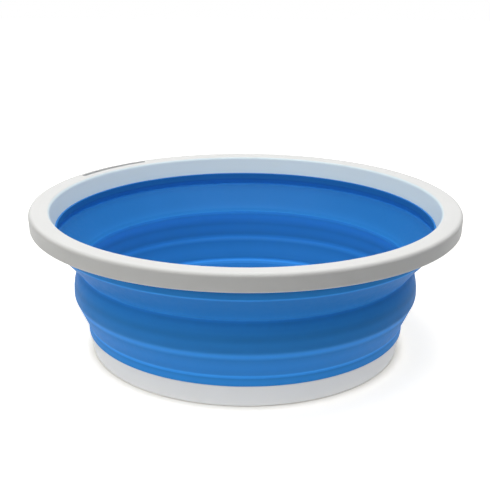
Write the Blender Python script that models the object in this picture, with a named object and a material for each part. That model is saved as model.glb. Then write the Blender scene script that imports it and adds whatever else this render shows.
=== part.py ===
"""A round collapsible camp washbasin, standing open.

A stiff white rim and a stiff white base tray are joined by one soft blue wall. The wall
has three bands, which keep their shape, and two fold panels between them with a thin
hinge at each end. When the rim is pushed down the panels turn over, first one and then
the other, and the bands come to rest one inside the other around the tray.

Units are metres and +Z is up. The origin is where the basin's axis meets the ground.
Outlines are lists of (radius, height) points that are turned about that axis.
"""

import math

import bmesh
import bpy
from mathutils import Vector

# Widths of the basin, from the outside of the rim inwards
RIM_DIAMETER = 0.380
RIM_BAND_WIDTH = 0.0175
RIM_FACE_LEAN = 0.0044
TOP_BAND_LEAN = 0.0006
UPPER_FOLD_STEP = 0.0218
MIDDLE_BAND_FLARE = 0.0057
LOWER_FOLD_STEP = 0.0114
BASE_SIDE_LEAN = 0.0039

# Heights, stacked from the ground to the crest of the rim
BASE_SIDE_HEIGHT = 0.0195
BOTTOM_BAND_HEIGHT = 0.0080
LOWER_FOLD_RISE = 0.0255
MIDDLE_BAND_RISE = 0.0257
UPPER_FOLD_RISE = 0.0248
TOP_BAND_HEIGHT = 0.0112
RIM_FACE_HEIGHT = 0.0157
RIM_DOME_HEIGHT = 0.0008

# Rim: an upturned channel with a skirt outside, a leaning face inside and ribs within
RIM_WALL = 0.0023
RIM_SKIRT_HEIGHT = 0.0145
RIM_SKIRT_TAPER = 0.0004
RIM_CREST_INSET = 0.0097
RIM_OUTER_FILLET = 0.0034
RIM_CREST_FILLET = 0.0050
RIM_EDGE_FILLET = 0.0035
RIM_RIB_COUNT = 24
RIM_RIB_THICKNESS = 0.0015
RIM_RIB_RECESS = 0.0035
RIM_INSIDE_FILLET = 0.0006

# Hanging slot through the crest of the rim, at the back left
SLOT_LENGTH = 0.0820
SLOT_WIDTH = 0.0046
SLOT_AZIMUTH = math.radians(138)
SLOT_TO_RIB = 0.0080
CUT_OVERRUN = 0.0020

# Wall, with its thickness measured level
BAND_THICKNESS = 0.0028
FOLD_THICKNESS = 0.0024
HINGE_THICKNESS = 0.0015
HINGE_REACH = 0.0030
CREST_HINGE_DROP = 0.0035
MIDDLE_BEND_DROP = 0.0110
SHOULDER_FILLET = 0.0025
VALLEY_FILLET = 0.0020
MIDDLE_BEND_FILLET = 0.0450
CREST_FILLET = 0.0080
WAIST_FILLET = 0.0025

# The wall is moulded over a tongue on the rim and another on the base tray
TONGUE_THICKNESS = 0.0013
TONGUE_HEIGHT = 0.0050
SKIN_THICKNESS = 0.0013
LAP_DEPTH = 0.0060
SEAT_GAP = 0.0003

# Base tray: one thin wall that forms the side, the foot and the stepped floor
BASE_WALL = 0.0023
BASE_EDGE_FILLET = 0.0012
FOOT_WIDTH = 0.0070
FOOT_HEIGHT = 0.0020
FOOT_DRAFT = 0.0010
FLOOR_MARGIN = 0.0380
FLOOR_STEP = 0.0010
FLOOR_STEP_DRAFT = 0.0010
BASE_INSIDE_FILLET = 0.0020

# Fineness of the turned forms
SEGMENTS = 60
ARC_STEP = math.radians(20)
SLOT_END_STEPS = 5
SLOT_SIDE_STEPS = 8
SMOOTH_ANGLE = math.radians(40)
MERGE_DISTANCE = 0.00001

# Finish: linear colour and roughness
WHITE_PLASTIC = (0.82, 0.82, 0.80, 1.0)
WHITE_ROUGHNESS = 0.38
BLUE_RUBBER = (0.045, 0.215, 0.590, 1.0)
BLUE_ROUGHNESS = 0.55

# Heights worked out from the stack
WAIST_Z = BASE_SIDE_HEIGHT + BOTTOM_BAND_HEIGHT
CREST_Z = WAIST_Z + LOWER_FOLD_RISE
CREST_HINGE_Z = CREST_Z - CREST_HINGE_DROP
VALLEY_Z = CREST_Z + MIDDLE_BAND_RISE
MIDDLE_BEND_Z = VALLEY_Z - MIDDLE_BEND_DROP
SHOULDER_Z = VALLEY_Z + UPPER_FOLD_RISE
RIM_FACE_Z = SHOULDER_Z + TOP_BAND_HEIGHT
RIM_EDGE_Z = RIM_FACE_Z + RIM_FACE_HEIGHT
RIM_TOP_Z = RIM_EDGE_Z + RIM_DOME_HEIGHT
RIM_SKIRT_Z = RIM_TOP_Z - RIM_SKIRT_HEIGHT

# Radii worked out from the rim inwards
RIM_RADIUS = RIM_DIAMETER / 2
RIM_EDGE_RADIUS = RIM_RADIUS - RIM_BAND_WIDTH
RIM_FACE_RADIUS = RIM_EDGE_RADIUS - RIM_FACE_LEAN
SLOT_RADIUS = RIM_RADIUS - RIM_BAND_WIDTH / 2
TOP_BAND_RADIUS = RIM_FACE_RADIUS + TONGUE_THICKNESS + SEAT_GAP + SKIN_THICKNESS
SHOULDER_RADIUS = TOP_BAND_RADIUS - TOP_BAND_LEAN
VALLEY_RADIUS = SHOULDER_RADIUS - UPPER_FOLD_STEP
CREST_RADIUS = VALLEY_RADIUS + MIDDLE_BAND_FLARE
WAIST_RADIUS = CREST_RADIUS - LOWER_FOLD_STEP
FOOT_RADIUS = WAIST_RADIUS - BASE_SIDE_LEAN
BASE_TONGUE_RADIUS = WAIST_RADIUS - SKIN_THICKNESS - SEAT_GAP


def clear_scene():
    """Removes whatever the open file holds."""
    for thing in list(bpy.data.objects):
        bpy.data.objects.remove(thing)


def finish(name, colour, roughness):
    """A material of one colour and roughness."""
    material = bpy.data.materials.new(name)
    material.use_nodes = True
    shader = material.node_tree.nodes["Principled BSDF"]
    shader.inputs["Base Color"].default_value = colour
    shader.inputs["Roughness"].default_value = roughness
    shader.inputs["Metallic"].default_value = 0.0
    material.diffuse_color = colour
    return material


def height_of(body):
    """How high an empty stands, added up through its parents."""
    return body.location.z + (height_of(body.parent) if body.parent else 0)


def body_origin(name, height, parent=None):
    """An empty on the basin's axis, which carries the pieces that move together."""
    origin = bpy.data.objects.new(name, None)
    bpy.context.scene.collection.objects.link(origin)
    origin.parent = parent
    origin.location.z = height - (height_of(parent) if parent else 0)
    return origin


def fillet(corners, radii):
    """An open outline through the corners, each inner one rounded to its radius.

    Where two roundings need more than the side between them, both shrink to share it.
    """
    sides = [after - before for before, after in zip(corners, corners[1:])]
    turns = [side.angle(onwards) for side, onwards in zip(sides, sides[1:])]
    reaches = [0, *[radius * math.tan(turn / 2) for radius, turn in zip(radii, turns)], 0]
    needs = [sum(pair) for pair in zip(reaches, reaches[1:])]
    room = [side.length / max(side.length, need) for side, need in zip(sides, needs)]
    points = [corners[0]]
    for index, (radius, turn) in enumerate(zip(radii, turns)):
        corner = corners[index + 1]
        if radius == 0:
            points.append(corner)
            continue
        held = radius * min(room[index], room[index + 1])
        back, onwards = -sides[index].normalized(), sides[index + 1].normalized()
        centre = corner + (back + onwards).normalized() * (held / math.cos(turn / 2))
        reach = held * math.tan(turn / 2)
        first = (corner + back * reach - centre).normalized()
        last = (corner + onwards * reach - centre).normalized()
        steps = math.ceil(turn / ARC_STEP)
        for step in range(steps + 1):
            points.append(centre + first.slerp(last, step / steps) * held)
    points.append(corners[-1])
    return points


def on_line(start, end, height):
    """The point at this height on the line through two points."""
    return start.lerp(end, (height - start.y) / (end.y - start.y))


def surface_at(outline, height):
    """The first point at this height on a falling outline."""
    for start, end in zip(outline, outline[1:]):
        if start.y >= height > end.y:
            return on_line(start, end, height)
    return outline[-1]


def between(outline, low, high):
    """The stretch of a falling outline between two heights."""
    inner = [point for point in outline if low < point.y < high]
    return [surface_at(outline, high), *inner, surface_at(outline, low)]


def offset(corners, distance):
    """The outline moved sideways to its right, with square corners.

    An end on a steep side keeps its height, and an end on a flat side keeps its radius.
    """
    ways = [(b - a).normalized() for a, b in zip(corners, corners[1:])]
    sides = [Vector((way.y, -way.x)) * distance for way in ways]
    moved = []
    for index, corner in enumerate(corners):
        before, after = max(index - 1, 0), min(index, len(ways) - 1)
        if before != after:
            mitre = sides[before] + sides[after]
            moved.append(corner + mitre * (distance * distance * 2 / mitre.length_squared))
            continue
        way, point = ways[before], corner + sides[before]
        if abs(way.y) > abs(way.x):
            moved.append(point + way * ((corner.y - point.y) / way.y))
        else:
            moved.append(point + way * ((corner.x - point.x) / way.x))
    return moved


def turned(outline, closed=True):
    """A mesh made by turning an outline of (radius, height) points about the axis."""
    form = bmesh.new()
    rim = [form.verts.new((point.x, 0, point.y)) for point in outline]
    pairs = list(zip(rim, rim[1:]))
    if closed:
        pairs.append((rim[-1], rim[0]))
    sides = [form.edges.new(pair) for pair in pairs]
    bmesh.ops.spin(
        form, geom=rim + sides, cent=(0, 0, 0), axis=(0, 0, 1), angle=math.tau,
        steps=SEGMENTS, use_merge=True, use_duplicate=False,
    )
    bmesh.ops.remove_doubles(form, verts=form.verts, dist=MERGE_DISTANCE)
    bmesh.ops.recalc_face_normals(form, faces=form.faces)
    return form


def add_object(name, form, body):
    """An object on its body's empty, with the form kept where its outline put it."""
    bmesh.ops.translate(form, verts=form.verts, vec=(0, 0, -height_of(body)))
    mesh = bpy.data.meshes.new(name)
    form.to_mesh(mesh)
    form.free()
    thing = bpy.data.objects.new(name, mesh)
    bpy.context.scene.collection.objects.link(thing)
    thing.parent = body
    return thing


def add_piece(name, form, body, material):
    """An object that is one piece of the basin, with its finish."""
    piece = add_object(name, form, body)
    piece.data.shade_smooth()
    piece.data.set_sharp_from_angle(angle=SMOOTH_ANGLE)
    piece.data.materials.append(material)
    return piece


def combine(piece, helper, operation):
    """Cuts a hidden helper from a piece, or joins it on, with a Boolean."""
    helper.hide_render = True
    helper.display_type = "WIRE"
    step = piece.modifiers.new(helper.name, "BOOLEAN")
    step.operation = operation
    step.solver = "EXACT"
    step.object = helper


def wall_outline():
    """The outside of the soft wall, from under the rim down to the base tray."""
    corners = [
        Vector((TOP_BAND_RADIUS, RIM_FACE_Z)),
        Vector((SHOULDER_RADIUS, SHOULDER_Z)),
        Vector((VALLEY_RADIUS, VALLEY_Z)),
        Vector((CREST_RADIUS, MIDDLE_BEND_Z)),
        Vector((CREST_RADIUS, CREST_Z)),
        Vector((WAIST_RADIUS, WAIST_Z)),
        Vector((WAIST_RADIUS, BASE_SIDE_HEIGHT)),
    ]
    bends = [SHOULDER_FILLET, VALLEY_FILLET, MIDDLE_BEND_FILLET, CREST_FILLET, WAIST_FILLET]
    return fillet(corners, bends)


def panel_outline(low, high, thickness):
    """A stretch of wall between two hinges, thinned towards each of them."""
    low, high = low + SEAT_GAP / 2, high - SEAT_GAP / 2
    outside = between(wall_outline(), low, high)
    full = between(outside, low + HINGE_REACH, high - HINGE_REACH)
    inside = [point - Vector((thickness, 0)) for point in full]
    hinge = Vector((HINGE_THICKNESS, 0))
    return outside + [outside[-1] - hinge, *inside[::-1], outside[0] - hinge]


def top_band_outline():
    """The band under the rim, with a groove for the rim's tongue in its top edge."""
    low, high = SHOULDER_Z + SEAT_GAP / 2, RIM_FACE_Z - SEAT_GAP
    groove_outer = RIM_FACE_RADIUS + TONGUE_THICKNESS + SEAT_GAP
    groove_inner = RIM_FACE_RADIUS - SEAT_GAP
    groove_floor = RIM_FACE_Z - TONGUE_HEIGHT - SEAT_GAP
    skin_inner = groove_inner - SKIN_THICKNESS
    outside = between(wall_outline(), low, high)
    return outside + [
        outside[-1] - Vector((HINGE_THICKNESS, 0)),
        Vector((SHOULDER_RADIUS - BAND_THICKNESS, low + HINGE_REACH)),
        Vector((skin_inner, groove_floor)),
        Vector((skin_inner, high)),
        Vector((groove_inner, high)),
        Vector((groove_inner, groove_floor)),
        Vector((groove_outer, groove_floor)),
        Vector((groove_outer, high)),
    ]


def bottom_band_outline():
    """The band on the base tray, which laps over both sides of the tray's tongue."""
    low, high = BASE_SIDE_HEIGHT + SEAT_GAP, WAIST_Z - SEAT_GAP / 2
    groove_outer = BASE_TONGUE_RADIUS + SEAT_GAP
    groove_inner = BASE_TONGUE_RADIUS - TONGUE_THICKNESS - SEAT_GAP
    groove_roof = BASE_SIDE_HEIGHT + TONGUE_HEIGHT + SEAT_GAP
    skin_inner = groove_inner - SKIN_THICKNESS
    lap_low = BASE_SIDE_HEIGHT - LAP_DEPTH + SEAT_GAP
    outside = between(wall_outline(), low, high)
    return outside + [
        Vector((groove_outer, low)),
        Vector((groove_outer, groove_roof)),
        Vector((groove_inner, groove_roof)),
        Vector((groove_inner, lap_low)),
        Vector((skin_inner, lap_low)),
        Vector((skin_inner, groove_roof)),
        outside[0] - Vector((HINGE_THICKNESS, 0)),
    ]


def rim_corners():
    """The outside of the rim, from its inner face over the crest to the skirt's edge."""
    return [
        Vector((RIM_FACE_RADIUS, RIM_FACE_Z)),
        Vector((RIM_EDGE_RADIUS, RIM_EDGE_Z)),
        Vector((RIM_RADIUS - RIM_CREST_INSET, RIM_TOP_Z)),
        Vector((RIM_RADIUS, RIM_TOP_Z)),
        Vector((RIM_RADIUS - RIM_SKIRT_TAPER, RIM_SKIRT_Z)),
    ]


def rim_outline():
    """The rim's section: the channel, and the tongue under its inner face."""
    radii = [RIM_EDGE_FILLET, RIM_CREST_FILLET, RIM_OUTER_FILLET]
    outside = fillet(rim_corners(), radii)
    inside_radii = [max(radius - RIM_WALL, RIM_INSIDE_FILLET) for radius in radii]
    inside = fillet(offset(rim_corners(), RIM_WALL), inside_radii)
    tongue_low = RIM_FACE_Z - TONGUE_HEIGHT
    tongue = [
        Vector((RIM_FACE_RADIUS + TONGUE_THICKNESS, RIM_FACE_Z)),
        Vector((RIM_FACE_RADIUS + TONGUE_THICKNESS, tongue_low)),
        Vector((RIM_FACE_RADIUS, tongue_low)),
    ]
    return outside + inside[::-1] + tongue


def rib_azimuths():
    """The ribs' places round the rim: evenly spread, but none across the slot."""
    pitch = math.tau / RIM_RIB_COUNT
    spread = [pitch * index + pitch / 2 for index in range(RIM_RIB_COUNT)]
    slot_reach = (SLOT_LENGTH / 2 + SLOT_TO_RIB) / SLOT_RADIUS
    return [azimuth for azimuth in spread if abs(azimuth - SLOT_AZIMUTH) > slot_reach]


def rim_ribs():
    """Thin upright webs inside the rim's channel, which keep its skirt stiff."""
    middle = offset(rim_corners(), RIM_WALL / 2)
    foot_z = RIM_SKIRT_Z + RIM_RIB_RECESS
    outline = [on_line(middle[0], middle[1], foot_z), *middle[1:-1]]
    outline.append(on_line(middle[-2], middle[-1], foot_z))
    rounding = [RIM_INSIDE_FILLET, RIM_CREST_FILLET - RIM_WALL / 2, RIM_OUTER_FILLET - RIM_WALL / 2]
    outline = fillet(outline, rounding)
    form = bmesh.new()
    for azimuth in rib_azimuths():
        outwards = Vector((math.cos(azimuth), math.sin(azimuth), 0))
        across = Vector((-outwards.y, outwards.x, 0)) * RIM_RIB_THICKNESS
        side = [outwards * point.x + Vector((0, 0, point.y)) - across / 2 for point in outline]
        face = form.faces.new([form.verts.new(point) for point in side])
        web = bmesh.ops.extrude_face_region(form, geom=[face])
        moved = [item for item in web["geom"] if isinstance(item, bmesh.types.BMVert)]
        bmesh.ops.translate(form, verts=moved, vec=across)
    bmesh.ops.recalc_face_normals(form, faces=form.faces)
    return form


def slot_cutter():
    """A curved slot with round ends, tall enough to pass through the rim's crest."""
    half_angle = (SLOT_LENGTH - SLOT_WIDTH) / 2 / SLOT_RADIUS
    half_width = SLOT_WIDTH / 2

    def on_arc(radius, share):
        azimuth = SLOT_AZIMUTH + half_angle * share
        return Vector((radius * math.cos(azimuth), radius * math.sin(azimuth), 0))

    def round_end(share):
        centre = on_arc(SLOT_RADIUS, share)
        start = SLOT_AZIMUTH + half_angle * share + (0 if share > 0 else math.pi)
        turns = [start + math.pi * step / SLOT_END_STEPS for step in range(1, SLOT_END_STEPS)]
        return [centre + Vector((math.cos(turn), math.sin(turn), 0)) * half_width for turn in turns]

    shares = [2 * step / SLOT_SIDE_STEPS - 1 for step in range(SLOT_SIDE_STEPS + 1)]
    outline = [on_arc(SLOT_RADIUS + half_width, share) for share in shares]
    outline += round_end(1)
    outline += [on_arc(SLOT_RADIUS - half_width, share) for share in reversed(shares)]
    outline += round_end(-1)
    low = Vector((0, 0, RIM_EDGE_Z - RIM_WALL - CUT_OVERRUN))
    form = bmesh.new()
    face = form.faces.new([form.verts.new(point + low) for point in outline])
    block = bmesh.ops.extrude_face_region(form, geom=[face])
    moved = [item for item in block["geom"] if isinstance(item, bmesh.types.BMVert)]
    rise = RIM_DOME_HEIGHT + RIM_WALL + CUT_OVERRUN * 2
    bmesh.ops.translate(form, verts=moved, vec=(0, 0, rise))
    bmesh.ops.recalc_face_normals(form, faces=form.faces)
    return form


def base_outline():
    """The base tray's section, from the middle of its underside round to its floor."""
    foot_inner = FOOT_RADIUS - FOOT_WIDTH
    step_radius = foot_inner - FLOOR_MARGIN
    corners = [
        Vector((WAIST_RADIUS, BASE_SIDE_HEIGHT)),
        Vector((FOOT_RADIUS, 0)),
        Vector((foot_inner, 0)),
        Vector((foot_inner - FOOT_DRAFT, FOOT_HEIGHT)),
        Vector((step_radius, FOOT_HEIGHT)),
        Vector((step_radius - FLOOR_STEP_DRAFT, FOOT_HEIGHT + FLOOR_STEP)),
        Vector((0, FOOT_HEIGHT + FLOOR_STEP)),
    ]
    outside = fillet(corners, [BASE_EDGE_FILLET, 0, 0, 0, 0])
    inside = fillet(offset(corners, BASE_WALL), [BASE_INSIDE_FILLET, 0, 0, 0, 0])
    lap_z = BASE_SIDE_HEIGHT - LAP_DEPTH
    lap = on_line(inside[0], inside[1], lap_z)
    tongue_inner = BASE_TONGUE_RADIUS - TONGUE_THICKNESS
    tongue_z = BASE_SIDE_HEIGHT + TONGUE_HEIGHT
    tongue = [
        Vector((tongue_inner, lap_z)),
        Vector((tongue_inner, tongue_z)),
        Vector((BASE_TONGUE_RADIUS, tongue_z)),
        Vector((BASE_TONGUE_RADIUS, BASE_SIDE_HEIGHT)),
    ]
    return outside[::-1] + tongue[::-1] + [lap] + inside[1:]


def build_base(body):
    """The tray that the basin stands on, and the band of wall moulded over its tongue."""
    white = finish("base_tray_plastic", WHITE_PLASTIC, WHITE_ROUGHNESS)
    blue = finish("bottom_band_rubber", BLUE_RUBBER, BLUE_ROUGHNESS)
    add_piece("base_tray", turned(base_outline(), closed=False), body, white)
    add_piece("wall_bottom_band", turned(bottom_band_outline()), body, blue)


def build_panel(name, low, high, thickness, body):
    """One stretch of the wall between two hinges."""
    blue = finish(name + "_rubber", BLUE_RUBBER, BLUE_ROUGHNESS)
    add_piece(name, turned(panel_outline(low, high, thickness)), body, blue)


def build_rim(body):
    """The rim with its ribs and hanging slot, and the band of wall moulded over its tongue."""
    white = finish("rim_ring_plastic", WHITE_PLASTIC, WHITE_ROUGHNESS)
    blue = finish("top_band_rubber", BLUE_RUBBER, BLUE_ROUGHNESS)
    ring = add_piece("rim_ring", turned(rim_outline()), body, white)
    combine(ring, add_object("rim_ribs", rim_ribs(), body), "UNION")
    combine(ring, add_object("slot_cutter", slot_cutter(), body), "DIFFERENCE")
    add_piece("wall_top_band", turned(top_band_outline()), body, blue)


def build_basin():
    """The whole basin, with each moving group on an empty at its lower hinge."""
    base = body_origin("base_body", 0)
    middle = body_origin("middle_body", CREST_HINGE_Z, base)
    rim = body_origin("rim_body", SHOULDER_Z, middle)
    build_base(base)
    build_panel("wall_lower_fold", WAIST_Z, CREST_HINGE_Z, FOLD_THICKNESS, base)
    build_panel("wall_middle_band", CREST_HINGE_Z, VALLEY_Z, BAND_THICKNESS, middle)
    build_panel("wall_upper_fold", VALLEY_Z, SHOULDER_Z, FOLD_THICKNESS, middle)
    build_rim(rim)


clear_scene()
build_basin()
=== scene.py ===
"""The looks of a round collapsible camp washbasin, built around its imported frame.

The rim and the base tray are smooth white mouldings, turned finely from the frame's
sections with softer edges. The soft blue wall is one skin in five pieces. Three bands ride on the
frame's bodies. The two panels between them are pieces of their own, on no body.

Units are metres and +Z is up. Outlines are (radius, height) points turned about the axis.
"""

import math

import bmesh
import bpy
from mathutils import Matrix, Vector


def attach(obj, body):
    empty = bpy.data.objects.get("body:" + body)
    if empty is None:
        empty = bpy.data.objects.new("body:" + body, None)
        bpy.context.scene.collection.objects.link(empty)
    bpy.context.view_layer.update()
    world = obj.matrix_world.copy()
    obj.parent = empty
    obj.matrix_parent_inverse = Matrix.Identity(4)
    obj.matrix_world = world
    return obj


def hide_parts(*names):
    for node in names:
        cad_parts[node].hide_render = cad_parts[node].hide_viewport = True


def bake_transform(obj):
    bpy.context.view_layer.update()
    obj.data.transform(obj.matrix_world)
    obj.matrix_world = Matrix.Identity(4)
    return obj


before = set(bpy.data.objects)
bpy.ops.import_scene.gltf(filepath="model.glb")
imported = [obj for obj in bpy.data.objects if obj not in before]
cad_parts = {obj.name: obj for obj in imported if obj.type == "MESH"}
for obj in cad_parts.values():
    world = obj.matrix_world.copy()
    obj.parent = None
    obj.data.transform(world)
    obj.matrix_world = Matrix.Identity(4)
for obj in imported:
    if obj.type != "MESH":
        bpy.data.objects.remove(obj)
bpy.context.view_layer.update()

# Corners of the rim's section, from its inner face over the crest to the skirt. The inner
# edge stands a little above the frame's, where the photograph has it.
FACE_RADIUS = 0.1681
FACE_Z = 0.1147
EDGE_RADIUS = 0.1725
EDGE_Z = 0.1308
CREST_INSET = 0.0097
RIM_RADIUS = 0.1900
RIM_TOP_Z = 0.1312
SKIRT_RADIUS = 0.1896
SKIRT_Z = 0.1167
RIM_WALL = 0.0023
EDGE_FILLET = 0.0035
CREST_FILLET = 0.0050
OUTER_FILLET = 0.0034
SKIRT_FILLET = 0.0009
INSIDE_FILLET = 0.0006

# Stiffening webs inside the rim's channel, and the hanging slot at the back left
WEB_COUNT = 24
WEB_THICKNESS = 0.0015
WEB_RECESS = 0.0035
SLOT_RADIUS = 0.18125
SLOT_LENGTH = 0.0820
SLOT_WIDTH = 0.0046
SLOT_AZIMUTH = math.radians(138)
SLOT_CLEARANCE = 0.0080
SLOT_END_STEPS = 16
SLOT_SIDE_STEPS = 24
CUT_OVERRUN = 0.0020
CUT_EDGE = 0.00035
CUT_EDGE_STEPS = 3

# Creases of the wall, where its outer side turns
TOP_RADIUS = 0.1710
SHOULDER = Vector((0.1704, 0.1035))
VALLEY = Vector((0.1486, 0.0787))
CREST_RADIUS = 0.1543
MIDDLE_BEND_Z = 0.0677
CREST_Z = 0.0530
CREST_HINGE_Z = 0.0495
WAIST = Vector((0.1429, 0.0275))
SHOULDER_FILLET = 0.0025
VALLEY_FILLET = 0.0020
MIDDLE_BEND_FILLET = 0.0450
CREST_FILLET_OF_WALL = 0.0080
WAIST_FILLET = 0.0025

# Thickness of the wall, measured level, and of the skins that lap over rim and tray
BAND_THICKNESS = 0.0028
FOLD_THICKNESS = 0.0024
HINGE_THICKNESS = 0.0015
HINGE_REACH = 0.0030
TOP_SKIN_RADIUS = 0.1665
TOP_SKIN_Z = 0.1090
LOWER_SKIN_RADIUS = 0.1384
LAP_RADIUS = 0.1397
LAP_Z = 0.0135
SKIN_EDGE_FILLET = 0.0006
INNER_CREASE_FILLET = 0.0012
INNER_HINGE_FILLET = 0.0008
INNER_SHOULDER_FILLET = 0.0006
INNER_BAND_FILLET = 0.0200
SEAM_FILLET = 0.00025

# Radii at which the two panels are cut from the bands that they hang between
UPPER_FOLD_RADII = (0.1496, 0.1685)
LOWER_FOLD_RADII = (0.1433, 0.1509)
FOLD_EASE = 0.15

# Base tray
BASE_SIDE_Z = 0.0195
FOOT_RADIUS = 0.1390
FOOT_WIDTH = 0.0070
FOOT_HEIGHT = 0.0020
FOOT_DRAFT = 0.0010
FLOOR_MARGIN = 0.0380
FLOOR_STEP = 0.0010
FLOOR_STEP_DRAFT = 0.0010
BASE_WALL = 0.0023
BASE_EDGE_FILLET = 0.0012
BASE_INSIDE_FILLET = 0.0020
BASE_STEP_FILLET = 0.0006

# Fineness of the turned forms
SEGMENTS = 192
ARC_STEP = math.radians(6)
ROW_SPACING = 0.0012
SMOOTH_ANGLE = math.radians(40)
MERGE_DISTANCE = 0.000005

# Painted highlights along the creases and painted light on the shaded bands, where the blue is
# drawn paler: height, half width and strength
PAINTED_LIGHT_LINES = (
    (0.1060, 0.0024, 0.50),
    (SHOULDER.y, 0.0012, 0.90),
    (0.0776, 0.0016, 1.40),
    (0.0720, 0.0085, 0.90),
    (0.0600, 0.0070, 0.50),
    (CREST_HINGE_Z, 0.0030, 0.70),
    (0.0380, 0.0070, 0.22),
    (WAIST.y, 0.0015, 1.40),
    (0.0225, 0.0045, 0.72),
)
# Painted blue bounce light on the rim's inner face: how near the face a point lies to carry it
BOUNCE_NEAR = 0.0003
BOUNCE_FADE = 0.0012

# Finishes: their colours, gloss and the height of their relief
WHITE_DARK = (0.800, 0.803, 0.797, 1)
WHITE_LIGHT = (0.835, 0.837, 0.828, 1)
# Painted reflection: the blue that the wall throws onto the rim's inner face
WHITE_PAINTED_BOUNCE = (0.830, 0.950, 0.990, 1)
WHITE_ROUGHNESS = (0.36, 0.50)
WHITE_SPECULAR = 0.14
WHITE_RIPPLE = 0.00010
WHITE_GRAIN = 0.000010
BLUE_DARK = (0.020, 0.187, 0.540, 1)
BLUE_LIGHT = (0.025, 0.205, 0.584, 1)
# Painted highlight colour for the creases and the shaded bands
BLUE_PAINTED_LIGHT = (0.046, 0.360, 0.950, 1)
BLUE_ROUGHNESS = (0.46, 0.60)
BLUE_SPECULAR = 0.09
BLUE_RIPPLE = 0.00016
BLUE_GRAIN = 0.000022
# Values that a noise pattern mostly keeps between
NOISE_LOW = 0.3
NOISE_HIGH = 0.7

# Camera, placed as the photograph's was
CAMERA_PIVOT = Vector((0, 0, 0.070))
CAMERA_DISTANCE = 0.892
CAMERA_ELEVATION = math.radians(19.581)
CAMERA_ROLL = math.radians(0.292)
PHOTO_SIZE_PX = 490
PHOTO_FOCAL_PX = 979.4
PHOTO_CENTRE_PX = (245.4, 265.99)
SENSOR_WIDTH_MM = 36

# Light: a softbox overhead, a fill at the front left, and a lit patch of table top
SOFTBOX_SIZE = 1.1
KEY_PLACE = Vector((0, 0, 1.15))
KEY_WATTS = 12.3
FILL_PLACE = Vector((-0.70, -0.65, 0.80))
FILL_WATTS = 2.1
FILL_COLOUR = (1.00, 0.97, 0.88)
GLOW_SIZE = 0.46
GLOW_PLACE = Vector((-0.024, 0, 0.0006))
GLOW_WATTS = 0.455
SURROUND_LIGHT = 0.02

# Floor: the camera sees it paler than it is, and pure white away from the basin
FLOOR_SIZE = 6.0
FLOOR_WHITE = 0.90
FLOOR_LIFT = 0.78
# Painted warm tint near the basin, which cancels the wall's blue bounce in the floor's shadow
NEAR_COLOUR = (1, 0.960, 0.870, 1)
FAR_COLOUR = (1, 1, 1, 1)
FLOOR_LIFT_NEAR = 0.26
FLOOR_LIFT_FAR = 0.60
# Painted contact shadow: the reach and depth of the dimming of the floor's lift at the tray's foot
CONTACT_REACH = 0.012
CONTACT_LIFT = 0.30
CONTACT_CLOSED = 0.35
CONTACT_OPEN = 0.85


def fillet(corners, radii):
    """An open outline through the corners, each inner one rounded to its radius."""
    points = [corners[0]]
    for before, corner, after, radius in zip(corners, corners[1:], corners[2:], radii):
        if radius == 0:
            points.append(corner)
            continue
        back, onwards = (before - corner).normalized(), (after - corner).normalized()
        turn = math.pi - back.angle(onwards)
        centre = corner + (back + onwards).normalized() * (radius / math.cos(turn / 2))
        reach = radius * math.tan(turn / 2)
        first = (corner + back * reach - centre).normalized()
        last = (corner + onwards * reach - centre).normalized()
        steps = max(2, math.ceil(turn / ARC_STEP))
        points += [centre + first.slerp(last, step / steps) * radius for step in range(steps + 1)]
    points.append(corners[-1])
    return points


def offset(corners, distance):
    """The outline moved to its right, with square corners and its end heights kept."""
    ways = [(b - a).normalized() for a, b in zip(corners, corners[1:])]
    sides = [Vector((way.y, -way.x)) * distance for way in ways]
    moved = [corners[0] + sides[0] - ways[0] * (sides[0].y / ways[0].y)]
    for corner, before, after in zip(corners[1:], sides, sides[1:]):
        mitre = before + after
        moved.append(corner + mitre * (distance * distance * 2 / mitre.length_squared))
    moved.append(corners[-1] + sides[-1] - ways[-1] * (sides[-1].y / ways[-1].y))
    return moved


def fine(outline):
    """The outline with extra points on its long sides."""
    points = [outline[0]]
    for start, end in zip(outline, outline[1:]):
        steps = max(1, round((end - start).length / ROW_SPACING))
        points += [start.lerp(end, step / steps) for step in range(1, steps + 1)]
    return points


def on_line(start, end, height):
    """The point at this height on the line through two points."""
    return start.lerp(end, (height - start.y) / (end.y - start.y))


def crossing(outline, radius, low, high):
    """How far along an outline it crosses a radius, between two heights."""
    for index, (start, end) in enumerate(zip(outline, outline[1:])):
        crosses = (start.x - radius) * (end.x - radius) <= 0 and start.x != end.x
        if crosses and low <= start.y <= high:
            return index + (radius - start.x) / (end.x - start.x)
    return None


def stretch(outline, first, last):
    """The part of an outline between two places along it."""
    def at(place):
        index = min(int(place), len(outline) - 2)
        return outline[index].lerp(outline[index + 1], place - index)

    inner = outline[math.floor(first) + 1:math.ceil(last)]
    return [at(first), *inner, at(last)]


def turned(outline, closed=True):
    """A mesh made by turning an outline of (radius, height) points about the axis."""
    form = bmesh.new()
    points = [form.verts.new((point.x, 0, point.y)) for point in outline]
    pairs = list(zip(points, points[1:]))
    if closed:
        pairs.append((points[-1], points[0]))
    sides = [form.edges.new(pair) for pair in pairs]
    bmesh.ops.spin(
        form, geom=points + sides, cent=(0, 0, 0), axis=(0, 0, 1), angle=math.tau,
        steps=SEGMENTS, use_merge=True, use_duplicate=False,
    )
    bmesh.ops.remove_doubles(form, verts=form.verts, dist=MERGE_DISTANCE)
    bmesh.ops.recalc_face_normals(form, faces=form.faces)
    return form


def add_object(name, form):
    """An object in the scene that holds a form."""
    mesh = bpy.data.meshes.new(name)
    form.to_mesh(mesh)
    form.free()
    thing = bpy.data.objects.new(name, mesh)
    bpy.context.scene.collection.objects.link(thing)
    return thing


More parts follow.
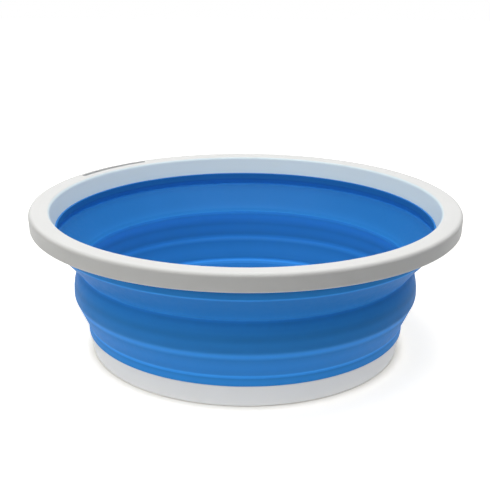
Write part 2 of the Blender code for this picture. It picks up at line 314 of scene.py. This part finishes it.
def add_piece(name, form, material, node):
    """A visible piece with its finish, which stands for one node of the frame."""
    piece = add_object(name, form)
    piece.data.materials.append(material)
    piece.data.shade_smooth()
    piece.data.set_sharp_from_angle(angle=SMOOTH_ANGLE)
    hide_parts(node)
    return piece


def modify(piece, kind, **settings):
    """Changes a piece's mesh by one modifier, which isn't kept."""
    step = piece.modifiers.new(kind, kind)
    for name, value in settings.items():
        setattr(step, name, value)
    shaped = piece.evaluated_get(bpy.context.evaluated_depsgraph_get())
    mesh = bpy.data.meshes.new_from_object(shaped)
    piece.modifiers.clear()
    piece.data = mesh


def combine(piece, helper, operation):
    """Joins a helper to a piece or cuts it away, and removes the helper."""
    modify(piece, "BOOLEAN", operation=operation, solver="EXACT", object=helper)
    bpy.data.objects.remove(helper)


def blend_by_radius(piece, radii):
    """Works out a weight for each point of a panel from its distance from the axis, then puts every
    point back where it was.

    The weight is chosen so that a panel bent by it would stay nearly straight and ease only into
    the bands at its two ends.
    """
    inner, outer = radii
    places = [point.co.copy() for point in piece.data.vertices]
    for point in piece.data.vertices:
        radius = math.hypot(point.co.x, point.co.y)
        share = min(max((radius - inner) / (outer - inner), 0), 1)
        point.co = (unsmoothed(eased(share)), 0, 0)
    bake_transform(piece)
    for point, place in zip(piece.data.vertices, places):
        point.co = place


def eased(share):
    """Runs straight from 0 to 1, with a soft start and a soft end."""
    slope = 1 / (1 - FOLD_EASE)
    if share < FOLD_EASE:
        return slope * share * share / (2 * FOLD_EASE)
    if share > 1 - FOLD_EASE:
        return 1 - eased(1 - share)
    return slope * (share - FOLD_EASE / 2)


def unsmoothed(weight):
    return 0.5 - math.sin(math.asin(1 - 2 * weight) / 3)


def material(name):
    """An empty node material: its nodes, its links and its main shader."""
    made = bpy.data.materials.new(name)
    made.use_nodes = True
    tree = made.node_tree
    return made, tree, tree.nodes["Principled BSDF"]


def noise(tree, scale, detail):
    """A noise pattern fixed to the piece, as a socket that runs from 0 to 1."""
    place = tree.nodes.new("ShaderNodeTexCoord")
    pattern = tree.nodes.new("ShaderNodeTexNoise")
    pattern.inputs["Scale"].default_value = scale
    pattern.inputs["Detail"].default_value = detail
    tree.links.new(place.outputs["Object"], pattern.inputs["Vector"])
    return pattern.outputs["Fac"]


def mapped(tree, value, low, high, from_low=NOISE_LOW, from_high=NOISE_HIGH):
    """A value spread over a new range."""
    spread = tree.nodes.new("ShaderNodeMapRange")
    spread.inputs["From Min"].default_value = from_low
    spread.inputs["From Max"].default_value = from_high
    spread.inputs["To Min"].default_value = low
    spread.inputs["To Max"].default_value = high
    tree.links.new(value, spread.inputs["Value"])
    return spread.outputs["Result"]


def stored(tree, name):
    """A value that is stored on the piece's points."""
    attribute = tree.nodes.new("ShaderNodeAttribute")
    attribute.attribute_name = name
    return attribute.outputs["Fac"]


def mixed(tree, share, first, second):
    """A colour between two others. Each is a colour or a socket."""
    mix = tree.nodes.new("ShaderNodeMix")
    mix.data_type = "RGBA"
    tree.links.new(share, mix.inputs["Factor"])
    for colour, socket in ((first, mix.inputs[6]), (second, mix.inputs[7])):
        if isinstance(colour, tuple):
            socket.default_value = colour
        else:
            tree.links.new(colour, socket)
    return mix.outputs[2]


def bumped(tree, height, distance, under=None):
    """Surface relief of this height, in metres, over what lies under it."""
    bump = tree.nodes.new("ShaderNodeBump")
    bump.inputs["Strength"].default_value = 1.0
    bump.inputs["Distance"].default_value = distance
    tree.links.new(height, bump.inputs["Height"])
    if under:
        tree.links.new(under, bump.inputs["Normal"])
    return bump.outputs["Normal"]


def white_plastic():
    """Polypropylene with a satin skin: faintly mottled, with fine moulding grain, and painted blue
    bounce light from the wall on the rim's inner face.
    """
    made, tree, shader = material("white_plastic")
    clouding = noise(tree, scale=14, detail=3)
    body = mixed(tree, clouding, WHITE_DARK, WHITE_LIGHT)
    # Painted blue bounce light from the wall, on the rim's inner face
    colour = mixed(tree, stored(tree, "painted_bounce"), body, WHITE_PAINTED_BOUNCE)
    tree.links.new(colour, shader.inputs["Base Color"])
    rubbing = noise(tree, scale=160, detail=6)
    tree.links.new(mapped(tree, rubbing, *WHITE_ROUGHNESS), shader.inputs["Roughness"])
    ripple = bumped(tree, noise(tree, scale=45, detail=2), WHITE_RIPPLE)
    grain = bumped(tree, noise(tree, scale=2400, detail=2), WHITE_GRAIN, ripple)
    tree.links.new(grain, shader.inputs["Normal"])
    shader.inputs["Specular IOR Level"].default_value = WHITE_SPECULAR
    return made


def blue_rubber():
    """Thermoplastic rubber with a matte bloom, with painted highlights along the creases and
    painted light on the shaded bands.
    """
    made, tree, shader = material("blue_rubber")
    clouding = noise(tree, scale=22, detail=4)
    body = mixed(tree, clouding, BLUE_DARK, BLUE_LIGHT)
    # Painted highlights along the creases and painted light on the shaded bands
    colour = mixed(tree, stored(tree, "painted_light"), body, BLUE_PAINTED_LIGHT)
    tree.links.new(colour, shader.inputs["Base Color"])
    bloom = noise(tree, scale=240, detail=5)
    tree.links.new(mapped(tree, bloom, *BLUE_ROUGHNESS), shader.inputs["Roughness"])
    ripple = bumped(tree, noise(tree, scale=38, detail=2), BLUE_RIPPLE)
    grain = bumped(tree, noise(tree, scale=1900, detail=3), BLUE_GRAIN, ripple)
    tree.links.new(grain, shader.inputs["Normal"])
    shader.inputs["Specular IOR Level"].default_value = BLUE_SPECULAR
    return made


def mark_painted_light(piece):
    """Stores how much painted highlight and painted light each point gets by its height, for the
    finish to read.
    """
    marks = piece.data.attributes.new("painted_light", "FLOAT", "POINT")
    for point, mark in zip(piece.data.vertices, marks.data):
        mark.value = max(
            strength * math.exp(-((point.co.z - height) / width) ** 2)
            for height, width, strength in PAINTED_LIGHT_LINES
        )


def mark_painted_bounce(rim):
    """Stores where the rim's inner face gets painted blue bounce light from the wall."""
    marks = rim.data.attributes.new("painted_bounce", "FLOAT", "POINT")
    low, high = Vector((FACE_RADIUS, FACE_Z)), Vector((EDGE_RADIUS, EDGE_Z))
    for point, mark in zip(rim.data.vertices, marks.data):
        on_face = on_line(low, high, point.co.z).x
        away = math.hypot(point.co.x, point.co.y) - on_face
        mark.value = min(max(1 - (away - BOUNCE_NEAR) / BOUNCE_FADE, 0), 1)


def rim_corners():
    """The outside of the rim, from its inner face over the crest to the skirt's edge."""
    return [
        Vector((FACE_RADIUS, FACE_Z)),
        Vector((EDGE_RADIUS, EDGE_Z)),
        Vector((RIM_RADIUS - CREST_INSET, RIM_TOP_Z)),
        Vector((RIM_RADIUS, RIM_TOP_Z)),
        Vector((SKIRT_RADIUS, SKIRT_Z)),
    ]


def rim_outline():
    """The rim's section: an upturned channel with a rounded lip to its skirt."""
    outside = rim_corners()
    inside = offset(outside, RIM_WALL)
    radii = [EDGE_FILLET, CREST_FILLET, OUTER_FILLET, SKIRT_FILLET]
    under = [max(radius - RIM_WALL, INSIDE_FILLET) for radius in radii[2::-1]]
    return fine(fillet(outside + inside[::-1], radii + [SKIRT_FILLET] + under))


def web_azimuths():
    """The webs' places round the rim: evenly spread, but none across the slot."""
    pitch = math.tau / WEB_COUNT
    spread = [pitch * index + pitch / 2 for index in range(WEB_COUNT)]
    reach = (SLOT_LENGTH / 2 + SLOT_CLEARANCE) / SLOT_RADIUS
    return [azimuth for azimuth in spread if abs(azimuth - SLOT_AZIMUTH) > reach]


def rim_webs():
    """Thin upright webs inside the rim's channel, which keep its skirt stiff."""
    middle = offset(rim_corners(), RIM_WALL / 2)
    foot_z = SKIRT_Z + WEB_RECESS
    corners = [on_line(middle[0], middle[1], foot_z), *middle[1:-1]]
    corners.append(on_line(middle[-2], middle[-1], foot_z))
    under_crest = CREST_FILLET - RIM_WALL / 2
    under_outer = OUTER_FILLET - RIM_WALL / 2
    outline = fillet(corners, [INSIDE_FILLET, under_crest, under_outer])
    form = bmesh.new()
    for azimuth in web_azimuths():
        outwards = Vector((math.cos(azimuth), math.sin(azimuth), 0))
        across = Vector((-outwards.y, outwards.x, 0)) * WEB_THICKNESS
        side = [outwards * point.x + Vector((0, 0, point.y)) - across / 2 for point in outline]
        raise_block(form, side, across)
    return form


def raise_block(form, side, across):
    """Adds a block to a form: a flat side moved across to make its other side."""
    face = form.faces.new([form.verts.new(point) for point in side])
    block = bmesh.ops.extrude_face_region(form, geom=[face])
    moved = [item for item in block["geom"] if isinstance(item, bmesh.types.BMVert)]
    bmesh.ops.translate(form, verts=moved, vec=across)
    bmesh.ops.recalc_face_normals(form, faces=form.faces)


def slot_cutter():
    """A curved slot with round ends, tall enough to pass through the rim's crest."""
    half_angle = (SLOT_LENGTH - SLOT_WIDTH) / 2 / SLOT_RADIUS
    half_width = SLOT_WIDTH / 2

    def on_arc(radius, share):
        azimuth = SLOT_AZIMUTH + half_angle * share
        return Vector((radius * math.cos(azimuth), radius * math.sin(azimuth), 0))

    def round_end(share):
        centre = on_arc(SLOT_RADIUS, share)
        start = SLOT_AZIMUTH + half_angle * share + (0 if share > 0 else math.pi)
        turns = [start + math.pi * step / SLOT_END_STEPS for step in range(1, SLOT_END_STEPS)]
        return [centre + Vector((math.cos(turn), math.sin(turn), 0)) * half_width for turn in turns]

    shares = [2 * step / SLOT_SIDE_STEPS - 1 for step in range(SLOT_SIDE_STEPS + 1)]
    outline = [on_arc(SLOT_RADIUS + half_width, share) for share in shares]
    outline += round_end(1)
    outline += [on_arc(SLOT_RADIUS - half_width, share) for share in reversed(shares)]
    outline += round_end(-1)
    low = EDGE_Z - RIM_WALL - CUT_OVERRUN
    high = RIM_TOP_Z + CUT_OVERRUN
    form = bmesh.new()
    side = [point + Vector((0, 0, low)) for point in outline]
    raise_block(form, side, Vector((0, 0, high - low)))
    return form


def build_rim(white):
    """The rim, with its hanging slot and the webs inside its channel."""
    rim = add_piece("rim_moulding", turned(rim_outline()), white, "rim_ring")
    combine(rim, add_object("slot_cutter", slot_cutter()), "DIFFERENCE")
    modify(rim, "BEVEL", width=CUT_EDGE, segments=CUT_EDGE_STEPS, limit_method="ANGLE",
           angle_limit=SMOOTH_ANGLE)
    combine(rim, add_object("rim_webs", rim_webs()), "UNION")
    rim.data.shade_smooth()
    rim.data.set_sharp_from_angle(angle=SMOOTH_ANGLE)
    modify(rim, "WEIGHTED_NORMAL", keep_sharp=True)
    mark_painted_bounce(rim)
    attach(rim, "rim")


def base_outline():
    """The tray's section, from the middle of its underside round to its floor."""
    foot_inner = FOOT_RADIUS - FOOT_WIDTH
    step_radius = foot_inner - FLOOR_MARGIN
    corners = [
        Vector((WAIST.x, BASE_SIDE_Z)),
        Vector((FOOT_RADIUS, 0)),
        Vector((foot_inner, 0)),
        Vector((foot_inner - FOOT_DRAFT, FOOT_HEIGHT)),
        Vector((step_radius, FOOT_HEIGHT)),
        Vector((step_radius - FLOOR_STEP_DRAFT, FOOT_HEIGHT + FLOOR_STEP)),
        Vector((0, FOOT_HEIGHT + FLOOR_STEP)),
    ]
    ways = [(b - a).normalized() for a, b in zip(corners, corners[1:])]
    sides = [Vector((way.y, -way.x)) * -BASE_WALL for way in ways]
    raised = [corners[0] - sides[0]]
    for corner, before, after in zip(corners[1:], sides, sides[1:]):
        mitre = before + after
        raised.append(corner - mitre * (BASE_WALL * BASE_WALL * 2 / mitre.length_squared))
    raised.append(corners[-1] + Vector((0, BASE_WALL)))
    lap = on_line(raised[0], raised[1], LAP_Z)
    steps = [BASE_STEP_FILLET] * 4
    outside = fillet(corners, [BASE_EDGE_FILLET, *steps])
    inside = fillet([lap, *raised[1:]], [BASE_INSIDE_FILLET, *steps])
    shelf = [
        Vector((LAP_RADIUS, LAP_Z)),
        Vector((LAP_RADIUS, BASE_SIDE_Z)),
        outside[0],
        outside[1],
    ]
    lip = fillet(shelf, [0, SEAM_FILLET])
    return fine(outside[:0:-1] + lip[::-1][1:] + inside)


def build_base(white):
    """The tray that the basin stands on."""
    tray = turned(base_outline(), closed=False)
    piece = add_piece("tray_moulding", tray, white, "base_tray")
    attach(piece, "base")


def wall_outside():
    """The outer side of the whole wall, from under the rim down to the tray."""
    corners = [
        Vector((TOP_RADIUS, FACE_Z)),
        SHOULDER,
        VALLEY,
        Vector((CREST_RADIUS, MIDDLE_BEND_Z)),
        Vector((CREST_RADIUS, CREST_Z)),
        WAIST,
        Vector((WAIST.x, BASE_SIDE_Z)),
        Vector((LAP_RADIUS, BASE_SIDE_Z)),
    ]
    bends = [
        SHOULDER_FILLET, VALLEY_FILLET, MIDDLE_BEND_FILLET, CREST_FILLET_OF_WALL,
        WAIST_FILLET, SEAM_FILLET,
    ]
    return fine(fillet(corners, bends))


def wall_inside():
    """The inner side of the whole wall, thinned to a groove at each hinge."""
    def within(point, thickness, rise=0):
        return point + Vector((-thickness, rise))

    middle_high = on_line(VALLEY, Vector((CREST_RADIUS, MIDDLE_BEND_Z)), VALLEY.y - HINGE_REACH)
    crest_hinge = on_line(Vector((CREST_RADIUS, CREST_Z)), WAIST, CREST_HINGE_Z)
    panel_foot = on_line(SHOULDER, VALLEY, VALLEY.y + HINGE_REACH)
    panel_head = on_line(SHOULDER, VALLEY, SHOULDER.y - HINGE_REACH)
    lower_head = on_line(crest_hinge, WAIST, CREST_HINGE_Z - HINGE_REACH)
    lower_foot = on_line(crest_hinge, WAIST, WAIST.y + HINGE_REACH)
    corners = [
        Vector((FACE_RADIUS, FACE_Z)),
        Vector((TOP_SKIN_RADIUS, FACE_Z)),
        Vector((TOP_SKIN_RADIUS, TOP_SKIN_Z)),
        within(SHOULDER, BAND_THICKNESS, HINGE_REACH),
        within(SHOULDER, HINGE_THICKNESS),
        within(panel_head, FOLD_THICKNESS),
        within(panel_foot, FOLD_THICKNESS),
        within(VALLEY, HINGE_THICKNESS),
        within(middle_high, BAND_THICKNESS),
        Vector((CREST_RADIUS - BAND_THICKNESS, MIDDLE_BEND_Z)),
        Vector((CREST_RADIUS - BAND_THICKNESS, CREST_HINGE_Z + HINGE_REACH)),
        within(crest_hinge, HINGE_THICKNESS),
        within(lower_head, FOLD_THICKNESS),
        within(lower_foot, FOLD_THICKNESS),
        within(WAIST, HINGE_THICKNESS),
        Vector((LOWER_SKIN_RADIUS, WAIST.y - HINGE_REACH)),
        Vector((LOWER_SKIN_RADIUS, LAP_Z)),
        Vector((LAP_RADIUS, LAP_Z)),
    ]
    soft = INNER_CREASE_FILLET
    rounding = [
        SKIN_EDGE_FILLET, soft, soft, INNER_SHOULDER_FILLET, soft, soft,
        INNER_HINGE_FILLET, soft, INNER_BAND_FILLET,
        soft, INNER_HINGE_FILLET, soft, soft, INNER_HINGE_FILLET, soft, SKIN_EDGE_FILLET,
    ]
    return fine(fillet(corners, rounding))


def build_wall(blue):
    """The soft wall: three bands, and two panels between them."""
    outside, inside = wall_outside(), wall_inside()
    upper_in, upper_out = UPPER_FOLD_RADII
    lower_in, lower_out = LOWER_FOLD_RADII
    upper_window = (VALLEY.y, SHOULDER.y)
    lower_window = (WAIST.y, CREST_HINGE_Z)
    cuts = [(0, 0)]
    for radius, window in (
        (upper_out, upper_window), (upper_in, upper_window),
        (lower_out, lower_window), (lower_in, lower_window),
    ):
        cuts.append((crossing(outside, radius, *window), crossing(inside, radius, *window)))
    cuts.append((len(outside) - 1, len(inside) - 1))
    names = ("top_band", "upper_fold", "middle_band", "lower_fold", "bottom_band")
    pieces = {}
    for name, (out_first, in_first), (out_last, in_last) in zip(names, cuts, cuts[1:]):
        section = stretch(outside, out_first, out_last)
        section += stretch(inside, in_first, in_last)[::-1]
        piece = add_piece("soft_" + name, turned(section), blue, "wall_" + name)
        mark_painted_light(piece)
        pieces[name] = piece
    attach(pieces["top_band"], "rim")
    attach(pieces["middle_band"], "middle")
    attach(pieces["bottom_band"], "base")
    blend_by_radius(pieces["upper_fold"], UPPER_FOLD_RADII)
    blend_by_radius(pieces["lower_fold"], LOWER_FOLD_RADII)


def add_camera():
    """The camera, at the photograph's place and with its framing."""
    lens = bpy.data.cameras.new("camera")
    lens.sensor_width = SENSOR_WIDTH_MM
    lens.lens = PHOTO_FOCAL_PX * SENSOR_WIDTH_MM / PHOTO_SIZE_PX
    lens.shift_x = (PHOTO_SIZE_PX / 2 - PHOTO_CENTRE_PX[0]) / PHOTO_SIZE_PX
    lens.shift_y = (PHOTO_CENTRE_PX[1] - PHOTO_SIZE_PX / 2) / PHOTO_SIZE_PX
    camera = bpy.data.objects.new("camera", lens)
    away = Vector((0, -math.cos(CAMERA_ELEVATION), math.sin(CAMERA_ELEVATION)))
    aim = (-away).to_track_quat("-Z", "Y").to_matrix().to_4x4()
    place = Matrix.Translation(CAMERA_PIVOT + away * CAMERA_DISTANCE)
    camera.matrix_world = place @ aim @ Matrix.Rotation(CAMERA_ROLL, 4, "Z")
    bpy.context.scene.collection.objects.link(camera)
    bpy.context.scene.camera = camera


def add_lamp(name, place, target, size, watts, colour=(1, 1, 1)):
    """A round soft lamp that the camera doesn't see directly, turned towards a target."""
    lamp = bpy.data.lights.new(name, "AREA")
    lamp.shape = "DISK"
    lamp.size = size
    lamp.energy = watts
    lamp.color = colour
    thing = bpy.data.objects.new(name, lamp)
    thing.location = place
    thing.rotation_euler = (target - place).to_track_quat("-Z", "Y").to_euler()
    thing.visible_camera = False
    bpy.context.scene.collection.objects.link(thing)
    return thing


def multiplied(tree, first, second):
    """The product of two values."""
    product = tree.nodes.new("ShaderNodeMath")
    product.operation = "MULTIPLY"
    tree.links.new(first, product.inputs[0])
    tree.links.new(second, product.inputs[1])
    return product.outputs[0]


def seen_directly(tree):
    """A socket that is 1 for what the camera sees directly, mirrored or through glass."""
    path = tree.nodes.new("ShaderNodeLightPath")
    first = tree.nodes.new("ShaderNodeMath")
    first.operation = "MAXIMUM"
    tree.links.new(path.outputs["Is Camera Ray"], first.inputs[0])
    tree.links.new(path.outputs["Is Glossy Ray"], first.inputs[1])
    second = tree.nodes.new("ShaderNodeMath")
    second.operation = "MAXIMUM"
    tree.links.new(first.outputs[0], second.inputs[0])
    tree.links.new(path.outputs["Is Transmission Ray"], second.inputs[1])
    return second.outputs[0]


def add_surroundings():
    """A dim grey room that looks white where the camera sees it."""
    world = bpy.data.worlds.new("surroundings")
    world.use_nodes = True
    tree = world.node_tree
    background = tree.nodes["Background"]
    background.inputs["Color"].default_value = (1, 1, 1, 1)
    strength = mapped(tree, seen_directly(tree), SURROUND_LIGHT, 1.0, 0, 1)
    tree.links.new(strength, background.inputs["Strength"])
    bpy.context.scene.world = world


def add_floor():
    """A wide white table top, which the camera sees as white but for the shadow, with a painted
    contact shadow at the tray's foot.
    """
    form = bmesh.new()
    bmesh.ops.create_grid(form, x_segments=1, y_segments=1, size=FLOOR_SIZE / 2)
    floor = add_object("floor", form)
    made, tree, shader = material("floor_white")
    shader.inputs["Base Color"].default_value = (FLOOR_WHITE, FLOOR_WHITE, FLOOR_WHITE, 1)
    shader.inputs["Roughness"].default_value = 1.0
    shader.inputs["Specular IOR Level"].default_value = 0.0
    place = tree.nodes.new("ShaderNodeTexCoord")
    distance = tree.nodes.new("ShaderNodeVectorMath")
    distance.operation = "LENGTH"
    tree.links.new(place.outputs["Object"], distance.inputs[0])
    away = mapped(tree, distance.outputs["Value"], 0, 1, FLOOR_LIFT_NEAR, FLOOR_LIFT_FAR)
    tree.links.new(mixed(tree, away, NEAR_COLOUR, FAR_COLOUR), shader.inputs["Emission Color"])
    lift = mapped(tree, away, FLOOR_LIFT, 1, 0, 1)
    # Painted contact shadow: the lift dims where the tray closes over the floor
    openness = tree.nodes.new("ShaderNodeAmbientOcclusion")
    openness.inputs["Distance"].default_value = CONTACT_REACH
    contact = mapped(tree, openness.outputs["AO"], CONTACT_LIFT, 1, CONTACT_CLOSED, CONTACT_OPEN)
    lift = multiplied(tree, multiplied(tree, lift, contact), seen_directly(tree))
    tree.links.new(lift, shader.inputs["Emission Strength"])
    floor.data.materials.append(made)


def build_scene():
    """Every piece, the camera, the light and the floor."""
    white, blue = white_plastic(), blue_rubber()
    build_rim(white)
    build_base(white)
    build_wall(blue)
    add_camera()
    middle = Vector((0, 0, 0))
    add_lamp("key_light", KEY_PLACE, middle, SOFTBOX_SIZE, KEY_WATTS)
    add_lamp("fill_light", FILL_PLACE, middle, SOFTBOX_SIZE, FILL_WATTS, FILL_COLOUR)
    above = GLOW_PLACE + Vector((0, 0, 1))
    glow = add_lamp("table_glow", GLOW_PLACE, above, GLOW_SIZE, GLOW_WATTS)
    glow.visible_glossy = False
    add_surroundings()
    add_floor()
    bpy.context.scene.view_settings.view_transform = "Standard"


build_scene()
